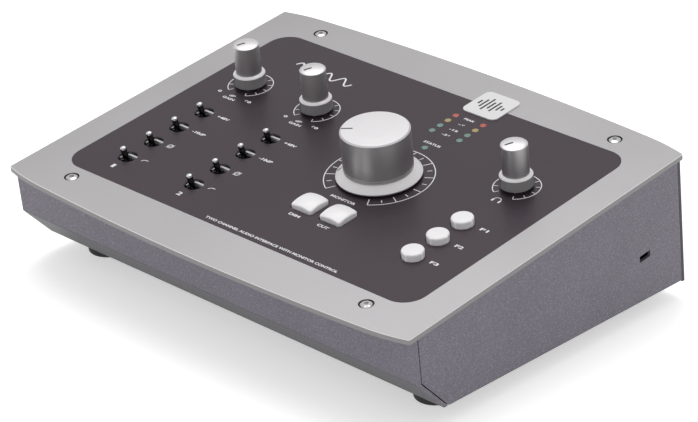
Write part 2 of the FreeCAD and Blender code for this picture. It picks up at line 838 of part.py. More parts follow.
switch_top = board_top + switch_height
key_stem_foot = switch_top + key_travel + press_gap
key_flange_top = -deck_thickness - key_flange_gap
key_flange_bottom = key_flange_top - key_flange_thickness


def make_key(cap, flange, place):
    """A key: cap through the deck, hidden retaining flange and stem down to its switch."""
    stem = peg(key_stem_radius, (key_stem_foot, key_flange_bottom + key_flange_thickness / 2), place)
    return joined([cap, flange, stem])


def make_square_key(place):
    """A square key with rounded corners and edges."""
    cap = rounded_plate(place, (key_size, key_size), key_corner_radius, (key_flange_bottom, key_height))
    cap = cap.makeFillet(key_edge_radius, edges_at_height(cap, key_height))
    wide = key_size + 2 * key_flange
    return make_key(cap, rounded_plate(place, (wide, wide), key_corner_radius,
                                       (key_flange_bottom, key_flange_top)), place)


def make_round_key(place):
    """A round key with a rounded edge."""
    cap = peg(round_key_radius, (key_flange_bottom, round_key_height), place)
    cap = cap.makeFillet(key_edge_radius, edges_at_height(cap, round_key_height))
    wide = round_key_radius + key_flange
    return make_key(cap, peg(wide, (key_flange_bottom, key_flange_top), place), place)


for name, place in square_key_places.items():
    save(name, make_square_key(place))
for name, place in round_key_places.items():
    save(name, make_round_key(place))
key_places = list(square_key_places.values()) + list(round_key_places.values())
save("button_switches", [block(around(x, switch_size), around(y, switch_size), (board_top, switch_top))
                         for x, y in key_places])

# ---- Indicator lamps ----------------------------------------------------------------------


def make_lamp(place):
    """A round lamp standing on the control board, with its domed end level with the deck."""
    outline = [(0, board_top), (lamp_radius, board_top), (lamp_radius, 0),
               (lamp_shoulder_radius, lamp_shoulder_height), (0, lamp_dome)]
    return turned(outline, place)


for name, places in lamp_places.items():
    save(name, [make_lamp(place) for place in places])

# ---- Boards, spacers and the cable between the boards -------------------------------------


def make_spacer(place, z_range, bore_range):
    """A hexagon brass spacer, bored for a screw."""
    return hex_bar(spacer_flats, z_range, place).cut(peg(screw_radius, bore_range, place))


board_size = (field_width - 2 * control_board_margin, field_depth - 2 * control_board_margin)
control_board = block(around(0, board_size[0]), around(0, board_size[1]), (board_bottom, board_top))
control_holes = [peg(screw_radius, (board_bottom - past, 0), place) for place in spacer_places]
spacer_bore = (board_top - past, board_top + board_screw_length)
save("control_board", control_board.cut(control_holes))
deck_spacers = [make_spacer(place, (board_top, -deck_thickness), spacer_bore) for place in spacer_places]
save("deck_spacers", deck_spacers)

main_board = block(around(0, main_board_width), main_board_rows, (main_board_bottom, main_board_top))
main_board = main_board.cut([peg(screw_radius, (bottom_inner, 0), place) for place in main_spacer_places])
main_bore = (bottom_inner - past, main_board_bottom + past)
save("main_board", main_board, level=True)
save("main_board_spacers", [make_spacer(place, (bottom_inner, main_board_bottom), main_bore)
                            for place in main_spacer_places], level=True)
board_screws = [pan_screw(place, board_bottom, board_screw_length, -1) for place in spacer_places]
main_board_screws = [pan_screw(place, main_board_top, board_screw_length) for place in main_spacer_places]
board_screws += [to_deck(screw) for screw in main_board_screws]
save("board_screws", board_screws)

socket_board = block((mic_columns[0] - mic_flange[0] / 2, headphone_jack_column + jack_body[0] / 2),
                     (socket_back - board_thickness, socket_back),
                     (socket_floor + socket_board_gap, board_bottom - board_thickness))
save("socket_board", socket_board)

ribbon_x, ribbon_y = ribbon_place
ribbon_low = (main_board_top - ribbon_y * tilt_sine) / tilt_cosine + ribbon_plug_height
ribbon = block(around(ribbon_x, ribbon_width), around(ribbon_y, ribbon_thickness),
               (ribbon_low, board_bottom - ribbon_plug_height))
upper_plug = block(around(ribbon_x, ribbon_plug_width), around(ribbon_y, ribbon_plug_depth),
                   (board_bottom - ribbon_plug_height, board_bottom))
plug_gap = ribbon_plug_depth * tilt_sine
lower_plug = block(around(ribbon_x, ribbon_plug_width), around(ribbon_y, ribbon_plug_depth),
                   (ribbon_low - ribbon_plug_height + plug_gap, ribbon_low))
save("ribbon_cable", ribbon)
save("ribbon_plugs", [upper_plug, lower_plug])

# ---- Rear sockets -------------------------------------------------------------------------

well_end = socket_back + socket_end_wall


def make_mic_socket(place):
    """A round microphone socket with a jack hole through the middle of its insert."""
    lip = case_back + mic_lip
    groove_in, groove_out = mic_groove
    outline = [(0, socket_back), (mic_radius, socket_back), (mic_radius, lip), (groove_out, lip),
               (groove_out, lip - mic_groove_depth), (groove_in, lip - mic_groove_depth),
               (groove_in, lip - mic_insert_step), (jack_bore_radius, lip - mic_insert_step),
               (jack_bore_radius, well_end), (0, well_end)]
    shell = turned_rearward(outline, place)
    flange = block(around(place[0], mic_flange[0]), (rear_inner - mic_flange_thickness, rear_inner),
                   around(place[1], mic_flange[1]))
    through = (rear_inner - mic_flange_thickness - past, rear_inner + past)
    flange = flange.cut(rod(mic_radius, through, place))
    holes = [rod(screw_radius, through, hole) for hole in mic_screw_places]
    return joined([shell, flange]).cut(holes)


def make_jack(place):
    """A jack socket: moulded body behind the panel and a threaded bushing through it."""
    body = block(around(place[0], jack_body[0]), (socket_back, rear_inner), around(place[1], jack_body[1]))
    bushing = rod(jack_bushing_radius, (rear_inner - past, case_back + jack_thread), place)
    bore = rod(jack_bore_radius, (well_end, case_back + jack_thread + past), place)
    return joined([body, bushing]).cut(bore)


def make_optical_socket(place):
    """A square optical socket with a deep square mouth."""
    lip = case_back + socket_lip
    body = block(around(place[0], optical_body[0]), (case_back - optical_depth, lip),
                 around(place[1], optical_body[1]))
    well = block(around(place[0], optical_mouth), (lip - optical_well, lip + past),
                 around(place[1], optical_mouth))
    return body.cut(well)


def make_usb_socket():
    """A metal-shelled computer socket with a contact tongue in its mouth."""
    lip = case_back + socket_lip
    x, z = usb_place
    body = block(around(x, usb_body[0]), (case_back - usb_depth, lip), around(z, usb_body[1]))
    well = block(around(x, usb_mouth[0]), (lip - usb_well, lip + past), around(z, usb_mouth[1]))
    tongue = block(around(x, usb_tongue[0]), (lip - usb_well - past, lip - usb_tongue_setback),
                   around(z, usb_tongue[1]))
    return joined([body.cut(well), tongue])


def make_power_inlet():
    """A round low-voltage inlet with a centre pin."""
    lip = case_back + jack_thread
    near = case_back - inlet_depth
    floor = lip - inlet_well
    outline = [(0, near), (inlet_radius, near), (inlet_radius, lip), (inlet_mouth_radius, lip),
               (inlet_mouth_radius, floor), (inlet_pin_radius, floor),
               (inlet_pin_radius, lip - inlet_pin_setback), (0, lip - inlet_pin_setback)]
    return turned_rearward(outline, inlet_place)


save("mic_socket_1", make_mic_socket(mic_places[0]))
save("mic_socket_2", make_mic_socket(mic_places[1]))
save("insert_jacks", [make_jack(place) for place in insert_places])
save("output_jacks", [make_jack(place) for place in output_places])
save("headphone_jack", make_jack(headphone_jack_place))
nuts = [rear_nut(jack_nut_flats, jack_bushing_radius, jack_nut_thickness, place) for place in jack_places]
nuts.append(rear_nut(inlet_nut_flats, inlet_radius, jack_nut_thickness, inlet_place))
save("socket_nuts", nuts)
save("optical_sockets", [make_optical_socket(place) for place in optical_places])
save("usb_socket", make_usb_socket())
save("power_inlet", make_power_inlet())

# ---- Power switch -------------------------------------------------------------------------

rocker_pivot = Point(rocker_place[0], case_back, rocker_place[1])
rocker_floor_depth = rocker_root + rocker_radius * math.sin(math.radians(rocker_lean)) + 2 * rocker_gap


def make_switch_case():
    """The fixed frame of the power switch, with a well for the rocker."""
    x, z = rocker_place
    bezel = block(around(x, rocker_bezel[0]), (case_back, case_back + rocker_bezel_thickness),
                  around(z, rocker_bezel[1]))
    bezel = bezel.makeFillet(rocker_bezel_thickness / 2, edges_along(bezel, REARWARD))
    case = block(around(x, rocker_case[0]),
                 (case_back - rocker_case_depth, case_back + rocker_bezel_thickness / 2),
                 around(z, rocker_case[1]))
    well = block(around(x, rocker_width + 2 * rocker_gap),
                 (rocker_pivot.y - rocker_floor_depth, case_back + rocker_bezel_thickness + past),
                 around(z, 2 * (rocker_radius + rocker_gap)))
    return joined([bezel, case]).cut(well)


def make_rocker():
    """The rocker: a slice of a round bar with a shallow valley, resting with its lower end out."""
    x_range = around(rocker_pivot.x, rocker_width)
    valley = [(-rocker_root, -rocker_radius), (rocker_crest, -rocker_radius), (rocker_valley, 0),
              (rocker_crest, rocker_radius), (-rocker_root, rocker_radius)]
    outline = [(rocker_pivot.y + out, rocker_pivot.z + up) for out, up in valley]
    end = Point(x_range[0], rocker_pivot.y, rocker_pivot.z)
    round_bar = Part.makeCylinder(rocker_radius, rocker_width, end, RIGHT)
    rocker = side_prism(outline, x_range).common(round_bar)
    rocker.rotate(rocker_pivot, RIGHT, rocker_lean)
    return rocker


save("power_switch", make_switch_case())
save("power_rocker", make_rocker())
print("centre shift", round(centre_shift, 4), "lift", lift)
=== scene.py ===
import json
import math

import bmesh
import bpy
from mathutils import Matrix, Vector


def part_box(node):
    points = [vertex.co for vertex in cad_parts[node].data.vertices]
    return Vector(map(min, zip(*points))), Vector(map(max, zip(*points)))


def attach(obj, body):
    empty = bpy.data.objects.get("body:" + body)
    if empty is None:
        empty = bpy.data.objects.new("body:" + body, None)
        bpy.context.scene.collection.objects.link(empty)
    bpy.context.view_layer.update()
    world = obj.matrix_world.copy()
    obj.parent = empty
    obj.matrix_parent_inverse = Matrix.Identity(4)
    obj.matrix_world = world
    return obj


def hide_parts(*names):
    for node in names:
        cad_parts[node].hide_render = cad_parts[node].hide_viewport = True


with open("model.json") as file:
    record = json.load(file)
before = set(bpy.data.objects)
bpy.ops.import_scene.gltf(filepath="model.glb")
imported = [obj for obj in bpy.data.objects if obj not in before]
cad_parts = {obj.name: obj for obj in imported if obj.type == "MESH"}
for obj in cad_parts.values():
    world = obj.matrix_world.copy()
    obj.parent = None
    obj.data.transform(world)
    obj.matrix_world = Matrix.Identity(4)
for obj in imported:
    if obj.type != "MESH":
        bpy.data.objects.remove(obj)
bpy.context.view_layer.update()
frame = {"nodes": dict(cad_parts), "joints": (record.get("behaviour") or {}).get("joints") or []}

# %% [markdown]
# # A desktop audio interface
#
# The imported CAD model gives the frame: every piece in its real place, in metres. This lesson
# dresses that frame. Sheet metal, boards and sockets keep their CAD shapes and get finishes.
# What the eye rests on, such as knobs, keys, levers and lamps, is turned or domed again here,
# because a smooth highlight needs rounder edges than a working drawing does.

mm = 0.001
joints = {joint["name"]: joint for joint in frame["joints"]}

# %% [markdown]
# ## A frame of reference on the deck
#
# The deck slopes, so almost nothing on it lies along the world's axes. It is far easier to place
# a knob on a flat drawing than on a slope, so we find the slope once and keep it as a matrix.
# The knobs' axes give the deck's normal, and the black overlay gives the drawing's middle. Its
# thickness follows from how tall and how deep its tilted box is.

# %% The deck's own drawing plane
deck_normal = Vector(joints["monitor_turn"]["axis"])
deck_right = Vector((1, 0, 0))
deck_rise = deck_normal.cross(deck_right)


def thickness(node):
    """How thick a tilted sheet is, from its level box."""
    low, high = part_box(node)
    size = high - low
    return (size.z * deck_normal.z + size.y * deck_normal.y) / (deck_normal.z**2 - deck_normal.y**2)


film_low, film_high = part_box("control_overlay")
film_thickness = thickness("control_overlay")
field_middle = (film_low + film_high) / 2 + deck_normal * film_thickness / 2
deck_turn = Matrix((deck_right, deck_rise, deck_normal)).transposed().to_4x4()
deck_plane = Matrix.Translation(field_middle) @ deck_turn
print("overlay thickness, mm", round(film_thickness / mm, 3))


def deck_place(joint):
    """Where a joint stands on the deck drawing, in millimetres."""
    place = deck_plane.inverted() @ Vector(joints[joint]["pos_m"])
    return Vector((place.x / mm, place.y / mm, place.z / mm))


def box_place(node):
    """The middle of a CAD piece on the deck drawing, in millimetres."""
    low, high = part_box(node)
    place = deck_plane.inverted() @ ((low + high) / 2)
    return Vector((place.x / mm, place.y / mm))


# %% [markdown]
# ## The camera
#
# A long lens from well back keeps parallel edges nearly parallel. The camera circles the middle
# of the deck, so an azimuth, an elevation and a distance say it all, and it looks at a point a
# little below and to the right of that middle.

# %% Camera
camera_azimuth = math.radians(43.32)
camera_elevation = math.radians(25.6)
camera_distance = 1.2679
aim = field_middle + Vector((8.6, -4.8, -19.6)) * mm
away = Vector((math.sin(camera_azimuth) * math.cos(camera_elevation),
               -math.cos(camera_azimuth) * math.cos(camera_elevation),
               math.sin(camera_elevation)))
camera_data = bpy.data.cameras.new("camera")
camera_data.sensor_width = 36.0
camera_data.lens = 155.4
camera_data.clip_end = 50.0
camera = bpy.data.objects.new("camera", camera_data)
camera.location = aim + away * camera_distance
camera.rotation_mode = "QUATERNION"
camera.rotation_quaternion = (-away).to_track_quat("-Z", "Y")
bpy.context.scene.collection.objects.link(camera)
bpy.context.scene.camera = camera
bpy.context.scene.view_settings.view_transform = "Standard"
print("camera at", [round(value, 3) for value in camera.location])

# %% [markdown]
# ## Writing finishes as sums
#
# A finish is a small graph of nodes, and a graph is hard to read as code. So one class stands for
# a value on its way through the graph, and ordinary Python signs on it add Math nodes: `1 - mask`
# or `speckle * 0.2` read as they mean. A second class holds one material. Its `node` method makes
# any node, sets it up, feeds its sockets, and gives back the value that comes out.

# %% A value inside a finish
class Value:
    """One output of a node, which can be used in sums."""

    def __init__(self, finish, socket):
        self.finish = finish
        self.socket = socket

    def sum(self, operation, first, second):
        return self.finish.node("ShaderNodeMath", {"operation": operation}, {0: first, 1: second})

    def __add__(self, other):
        return self.sum("ADD", self, other)

    def __sub__(self, other):
        return self.sum("SUBTRACT", self, other)

    def __rsub__(self, other):
        return self.sum("SUBTRACT", other, self)

    def __mul__(self, other):
        return self.sum("MULTIPLY", self, other)

    __radd__ = __add__
    __rmul__ = __mul__


# %% A finish: one material and its nodes
class Finish:
    """A material that is built up from values."""

    def __init__(self, name, metallic=0.0, coat=0.0, coat_roughness=0.1):
        self.material = bpy.data.materials.new(name)
        self.material.use_nodes = True
        self.tree = self.material.node_tree
        self.shader = self.tree.nodes["Principled BSDF"]
        self.shader.inputs["Metallic"].default_value = metallic
        self.shader.inputs["Coat Weight"].default_value = coat
        self.shader.inputs["Coat Roughness"].default_value = coat_roughness
        self.place = self.node("ShaderNodeTexCoord", output="Object")
        self.normal = self.node("ShaderNodeTexCoord", output="Normal")

    def node(self, kind, settings=None, sockets=None, output=0):
        made = self.tree.nodes.new(kind)
        for name, setting in (settings or {}).items():
            if name == "stops":
                self.set_stops(made.color_ramp, setting)
            else:
                setattr(made, name, setting)
        for name, value in (sockets or {}).items():
            self.feed(made.inputs[name], value)
        return Value(self, made.outputs[output])

    def set_stops(self, ramp, stops):
        """Sets a ramp's stops, each a position and a grey or a colour."""
        for index, (position, shade) in enumerate(stops):
            stop = ramp.elements[index] if index < 2 else ramp.elements.new(position)
            stop.position = position
            stop.color = (*shade, 1) if isinstance(shade, tuple) else (shade, shade, shade, 1)

    def feed(self, socket, value):
        if isinstance(value, Value):
            self.tree.links.new(value.socket, socket)
        else:
            socket.default_value = value

    def noise(self, size, detail=2.0, place=None, roughness=0.5):
        """Cloudy noise whose blobs are about that many metres across."""
        return self.node("ShaderNodeTexNoise", sockets={"Vector": place or self.place, "Scale": 1 / size,
                                                        "Detail": detail, "Roughness": roughness})

    def mix(self, factor, first, second):
        """A colour between two others."""
        colours = {6: first, 7: second, 0: factor}
        return self.node("ShaderNodeMix", {"data_type": "RGBA"}, colours, output=2)

    def bump(self, height, strength, distance):
        """A normal that follows a height."""
        sockets = {"Height": height, "Strength": strength, "Distance": distance}
        return self.node("ShaderNodeBump", sockets=sockets, output="Normal")

    def facing(self, direction, stops):
        """A mask from how far the surface faces a direction: 1 is straight along it, 0 is side on."""
        along = self.node("ShaderNodeVectorMath", {"operation": "DOT_PRODUCT"},
                          {0: self.normal, 1: tuple(direction)}, output="Value")
        return self.node("ShaderNodeValToRGB", {"stops": stops}, {0: along})

    def paint(self, colour=None, roughness=None, normal=None):
        """Feeds the shader and gives back the material."""
        inputs = {"Base Color": colour, "Roughness": roughness, "Normal": normal}
        for name, value in inputs.items():
            if value is not None:
                self.feed(self.shader.inputs[name], value)
        return self.material


def grey(level, warmth=0.0):
    """A nearly neutral colour; warmth leans it towards red and blue at once, as old black ink does."""
    return (level * (1 + warmth), level * (1 - warmth), level * (1 + 0.4 * warmth), 1)


# %% [markdown]
# ## The finishes
#
# Each real surface has something small going on: blasting grain on the deck, pinhead speckle in
# the powder coat, fine turning marks round the knobs. These are a few hundredths of a millimetre
# deep, so they belong in the finish rather than in the mesh. Each one varies the colour a little,
# the roughness a little more, and tilts the normal by a bump.

# %% Blasted silver deck
def silver_deck():
    """The top is blasted; the cut edge faces are painted darker as shade, and the chamfer between top and
    edge is painted near white as a highlight.
    """
    finish = Finish("silver_deck", metallic=1.0)
    grain = finish.noise(0.35 * mm, detail=3)
    cloud = finish.noise(60 * mm, detail=1)
    # Painted light by which way a face looks: faces off the deck's normal get a darker tone as painted
    # shade, and the chamfer gets a near-white tone as a painted highlight.
    top = finish.facing(deck_normal, [(0.90, 0.0), (0.97, 1.0)])
    bevel_highlight = finish.facing(deck_normal, [(0.35, 0.0), (0.50, 1.0), (0.90, 1.0), (0.97, 0.0)])
    blasted = finish.mix(grain * 0.6 + cloud * 0.4, grey(0.42, 0.012), grey(0.52, 0.012))
    shaded_edge = finish.mix(grain, grey(0.19, 0.012), grey(0.25, 0.012))
    colour = finish.mix(bevel_highlight, finish.mix(top, shaded_edge, blasted), grey(0.95))
    return finish.paint(colour, 0.36 + 0.10 * grain + 0.06 * cloud, finish.bump(grain, 0.14, 0.04 * mm))


# %% Matte black overlay film
def black_film():
    finish = Finish("black_film")
    finish.shader.inputs["Specular IOR Level"].default_value = 0.55
    finish.shader.inputs["Specular Tint"].default_value = (1.0, 0.86, 0.98, 1)
    grain = finish.noise(0.28 * mm, detail=3)
    cloud = finish.noise(45 * mm, detail=2)
    colour = finish.mix(grain * 0.4 + cloud * 0.6, grey(0.021, 0.18), grey(0.029, 0.20))
    return finish.paint(colour, 0.27 + 0.08 * grain, finish.bump(grain, 0.08, 0.02 * mm))


# %% Speckled powder coat
def powder_coat(name, dark, light, speckle_light):
    """Fine pale and dark specks; faces that look at the table are painted nearly black as shade."""
    finish = Finish(name)
    speckle = finish.noise(0.5 * mm, detail=4, roughness=0.7)
    pale = finish.node("ShaderNodeValToRGB", {"stops": [(0.50, 0.0), (0.64, 1.0)]}, {0: speckle})
    pits = finish.noise(0.42 * mm, detail=3)
    base = finish.mix(finish.noise(30 * mm), dark, light)
    colour = finish.mix(pale * 0.6, finish.mix(pits * 0.7, base, dark), speckle_light)
    # Painted shade: faces that look down are darkened nearly to black.
    underside_shade = finish.facing((0, 0, -1), [(0.15, 0.0), (0.50, 1.0)])
    colour = finish.mix(underside_shade * 0.8, colour, grey(0.012, 0.05))
    return finish.paint(colour, 0.40 + 0.18 * pits, finish.bump(pits + pale * 0.5, 0.30, 0.08 * mm))


# %% Turned silver for the knobs
def turned_silver(name, top, shaded_wall, metallic, roughness):
    """Fine rings round the piece's own axis; faces that look along the axis get a paler tone as a painted
    highlight, and the sides get a darker tone as painted shade.
    """
    finish = Finish(name, metallic=metallic)
    height = finish.node("ShaderNodeSeparateXYZ", sockets={0: finish.place}, output="Z")
    flat = finish.node("ShaderNodeVectorMath", {"operation": "MULTIPLY"}, {0: finish.place, 1: (1, 1, 0)})
    radius = finish.node("ShaderNodeVectorMath", {"operation": "LENGTH"}, {0: flat}, output="Value")
    along = finish.node("ShaderNodeCombineXYZ", sockets={0: radius, 1: height})
    rings = finish.noise(0.16 * mm, detail=3, place=along)
    dust = finish.noise(0.3 * mm, detail=2)
    # Painted light: the top tone is a painted highlight on faces that look up the axis, and the other tone
    # is painted shade on the sides; the rings and dust are real marks.
    upward_highlight = finish.facing((0, 0, 1), [(0.15, 0.0), (0.45, 1.0)])
    tone = finish.mix(upward_highlight, grey(shaded_wall, 0.012), grey(top, 0.010))
    colour = finish.mix(rings * 0.2 + dust * 0.1, tone, grey(shaded_wall, 0.012))
    return finish.paint(colour, roughness + 0.10 * rings + 0.05 * dust, finish.bump(rings, 0.10, 0.03 * mm))


# %% Plain metals: chrome, plated steel and brass
def metal(name, colour, roughness, grain_size=0.3, wear=0.08):
    finish = Finish(name, metallic=1.0)
    grain = finish.noise(grain_size * mm, detail=3)
    smudge = finish.noise(4 * mm, detail=2)
    worn = tuple(channel * 0.86 for channel in colour[:3]) + (1,)
    tone = finish.mix(smudge, colour, worn)
    return finish.paint(tone, roughness + wear * smudge + 0.05 * grain, finish.bump(grain, 0.06, 0.02 * mm))


# %% Chrome for the levers
def lever_chrome():
    """A cap painted near white as a highlight, on a shank painted dark as a reflection of shade, with a
    paler stripe painted down its left front as a highlight.
    """
    finish = Finish("lever_chrome", metallic=1.0)
    height = finish.node("ShaderNodeSeparateXYZ", sockets={0: finish.place}, output="Z")
    smudge = finish.noise(1.5 * mm, detail=2)
    tip = finish.node("ShaderNodeMapRange",
                      sockets={"Value": height, "From Min": 7.8 * mm, "From Max": 8.8 * mm})
    # Painted light: upward faces of the cap are painted near white as a highlight, the shank is painted
    # dark as a reflection of shade, and a stripe down its left front is painted paler as a highlight.
    upward_highlight = finish.facing((0, 0, 1), [(0.02, 0.0), (0.40, 1.0)])
    side_highlight = finish.facing((-0.80, -0.60, 0), [(0.55, 0.0), (0.95, 1.0)])
    shaded_stem = finish.mix(side_highlight, grey(0.05, 0.05), grey(0.30, 0.03))
    colour = finish.mix(tip * upward_highlight, shaded_stem, grey(0.97))
    return finish.paint(colour, 0.12 + 0.08 * smudge, finish.bump(smudge, 0.05, 0.02 * mm))


# %% Moulded plastics and rubber
def moulded(name, colour, roughness, grain_size=0.4, grain_depth=0.03, coat=0.0, glow=0.0):
    finish = Finish(name, coat=coat)
    finish.shader.inputs["Subsurface Weight"].default_value = glow
    finish.shader.inputs["Subsurface Radius"].default_value = (0.0010, 0.0010, 0.0010)
    grain = finish.noise(grain_size * mm, detail=3)
    cloud = finish.noise(8 * mm, detail=2)
    deeper = tuple(channel * 0.92 for channel in colour[:3]) + (1,)
    tone = finish.mix(grain * 0.3 + cloud * 0.7, colour, deeper)
    return finish.paint(tone, roughness + 0.08 * grain, finish.bump(grain, 0.12, grain_depth * mm))


# %% Printing ink
def ink(name, colour, roughness=0.5):
    finish = Finish(name)
    patchy = finish.noise(0.5 * mm, detail=2)
    thin = tuple(channel * 0.9 for channel in colour[:3]) + (1,)
    return finish.paint(finish.mix(patchy, colour, thin), roughness + 0.1 * patchy)


# %% Green circuit board
def circuit_board():
    finish = Finish("circuit_board", coat=0.4)
    tracks = finish.node("ShaderNodeTexBrick", {"offset": 0.37},
                         {"Vector": finish.place, "Scale": 90.0, "Mortar Size": 0.012,
                          "Color1": (0.012, 0.09, 0.035, 1), "Color2": (0.016, 0.12, 0.045, 1),
                          "Mortar": (0.03, 0.2, 0.08, 1)})
    return finish.paint(tracks, 0.35 + 0.1 * finish.noise(2 * mm))


# %% Every finish of the object, by name
finishes = {
    "deck": silver_deck(),
    "film": black_film(),
    "case": powder_coat("case_coat", dark=(0.098, 0.088, 0.116, 1), light=(0.148, 0.134, 0.172, 1),
                        speckle_light=(0.31, 0.29, 0.34, 1)),
    "rear": powder_coat("rear_coat", grey(0.022, 0.03), grey(0.030, 0.03), grey(0.06, 0.02)),
    # The first two numbers of each turned finish are a painted highlight tone for faces that look up the
    # axis and a painted shade tone for the sides.
    "knob": turned_silver("turned_silver", 0.82, 0.50, 1.0, 0.34),
    "satin": turned_silver("satin_silver", 0.97, 0.30, 0.25, 0.30),
    "chrome": lever_chrome(),
    "steel": metal("plated_steel", grey(0.62), 0.26),
    "screw": metal("bright_screw", grey(0.82), 0.16),
    "black_steel": metal("blackened_steel", grey(0.06), 0.38),
    "brass": metal("brass", (0.70, 0.50, 0.22, 1), 0.28),
    "frame": moulded("switch_frame", grey(0.66, 0.01), 0.35),
    "key": moulded("white_key", grey(0.96, 0.012), 0.32, glow=0.25, coat=0.2),
    "badge": moulded("badge_plate", grey(0.82, 0.0), 0.30, grain_size=0.6, grain_depth=0.01, coat=0.3),
    "black": moulded("black_plastic", grey(0.018, 0.02), 0.42),
    "rubber": moulded("foot_rubber", grey(0.020, 0.02), 0.62, grain_size=0.6, grain_depth=0.06),
    "ribbon": moulded("ribbon_grey", grey(0.42), 0.5),
    "board": circuit_board(),
    "ink": ink("white_ink", grey(0.86, 0.01)),
    "dark_ink": ink("dark_ink", grey(0.03)),
    "red": moulded("red_lens", (0.48, 0.085, 0.055, 1), 0.25, coat=0.5, glow=0.2),
    "yellow": moulded("yellow_lens", (0.42, 0.32, 0.12, 1), 0.25, coat=0.5, glow=0.2),
    "green": moulded("green_lens", (0.15, 0.28, 0.24, 1), 0.25, coat=0.5, glow=0.2),
}
print(len(finishes), "finishes")

# %% [markdown]
# ## CAD pieces that keep their shape
#
# A folded sheet or a threaded nut is already right, so it only needs its finish. A CAD piece is
# dressed by filling its material slots, and it is never moved.

# %% Dress the CAD pieces
cad_finishes = {
    "deck": ["top_deck"],
    "film": ["control_overlay"],
    "case": ["chassis"],
    "rear": ["rear_panel"],
    "badge": ["badge"],
    "screw": ["deck_screws"],
    "black_steel": ["rear_panel_screws", "foot_screws"],
    "steel": ["rotary_nuts", "socket_nuts", "usb_socket", "board_screws", "gain_pot_1", "gain_pot_2",
              "headphone_pot", "monitor_encoder", "gain_shaft_1", "gain_shaft_2", "headphone_shaft",
              "monitor_shaft"],
    "brass": ["deck_spacers", "main_board_spacers"],
    "frame": ["toggle_frames"],
    "black": ["toggle_bodies", "button_switches", "power_switch", "power_rocker", "mic_socket_1",
              "mic_socket_2", "insert_jacks", "output_jacks", "headphone_jack", "optical_sockets",
              "power_inlet"],
    "rubber": ["feet"],
    "ribbon": ["ribbon_cable", "ribbon_plugs"],
    "board": ["control_board", "main_board", "socket_board"],
}


def dress(piece, finish):
    """Gives an object one finish over its whole surface."""
    piece.data.materials.clear()
    piece.data.materials.append(finishes[finish])
    return piece


for finish_name, nodes in cad_finishes.items():
    for node in nodes:
        dress(frame["nodes"][node], finish_name)
print(sum(len(nodes) for nodes in cad_finishes.values()), "CAD pieces dressed")

# %% [markdown]
# ## Turning on a lathe
#
# A knob, a lens or a lever is a turned part, so it is made as a turner makes it: half a section,
# spun about an axis. The half section is a list of corners, each with its own easing, and the
# easing puts a small arc there. Those arcs are what catches the light. Weighted normals then
# keep the broad faces flat while the arcs shade smoothly.

# %% Easing the corners of an outline
def eased(corners, steps=4):
    """Outline points from (radius, height, easing) corners; a corner with easing becomes an arc."""
    points = []
    for index, (radius, height, easing) in enumerate(corners):
        corner = Vector((radius, height))
        if easing == 0 or index in (0, len(corners) - 1):
            points.append(corner)
            continue
        before = (Vector(corners[index - 1][:2]) - corner).normalized()
        after = (Vector(corners[index + 1][:2]) - corner).normalized()
        half_angle = before.angle(after) / 2
        reach = easing / math.tan(half_angle)
        centre = corner + (before + after).normalized() * easing / math.sin(half_angle)
        start, end = corner + before * reach - centre, corner + after * reach - centre
        turn = start.angle_signed(end)
        for step in range(steps + 1):
            angle = -turn * step / steps
            swung = Vector((start.x * math.cos(angle) - start.y * math.sin(angle),
                            start.x * math.sin(angle) + start.y * math.cos(angle)))
            points.append(centre + swung)
    return points


# %% Building meshes from rings of points
def mesh_from_rings(name, rings, finish, close_end=True):
    """Joins equal rings of points, in millimetres, into a skin; a closed end gets a fan of faces."""
    count = len(rings[0])
    points = [tuple(value * mm for value in point) for ring in rings for point in ring]
    faces = []
    for level in range(len(rings) - 1):
        low, high = level * count, (level + 1) * count
        faces += [(low + i, low + (i + 1) % count, high + (i + 1) % count, high + i) for i in range(count)]
    if close_end:
        last = rings[-1]
        middle = [sum(point[axis] for point in last) / count for axis in range(3)]
        points.append(tuple(value * mm for value in middle))
        top = (len(rings) - 1) * count
        faces += [(top + i, top + (i + 1) % count, len(points) - 1) for i in range(count)]
    mesh = bpy.data.meshes.new(name)
    mesh.from_pydata(points, [], faces)
    mesh.polygons.foreach_set("use_smooth", [True] * len(mesh.polygons))
    piece = bpy.data.objects.new(name, mesh)
    bpy.context.scene.collection.objects.link(piece)
    weighted = piece.modifiers.new("weighted", "WEIGHTED_NORMAL")
    weighted.weight = 90
    return dress(piece, finish)


def turned(name, corners, finish, sides=96):
    """A turned piece about its own Z axis, from its foot up to the middle of its top."""
    outline = eased(corners)
    rings = []
    for radius, height in outline:
        turns = [math.tau * side / sides for side in range(sides)]
        rings.append([(radius * math.cos(turn), radius * math.sin(turn), height) for turn in turns])
    return mesh_from_rings(name, rings, finish)


def stand(piece, place, lean=0.0, spin=0.0):
    """Puts a piece on the deck drawing, leaning about the drawing's Y axis and turned about its Z."""
    attitude = Matrix.Rotation(lean, 4, "Y") @ Matrix.Rotation(spin, 4, "Z")
    piece.matrix_world = deck_plane @ (Matrix.Translation(Vector(place) * mm) @ attitude)
    return piece


# %% [markdown]
# ## The small knobs
#
# Two gain knobs and a headphone knob share one shape: a slim silver barrel on a wider collar. The collar's
# upper edge is a chamfer painted bright as a highlight, and the barrel's top is very slightly domed. The
# dark pointer is a filled groove, so it is a thin bar let into the top, with a second mark down the collar.
# All of it rides on the knob's own body and turns with it.

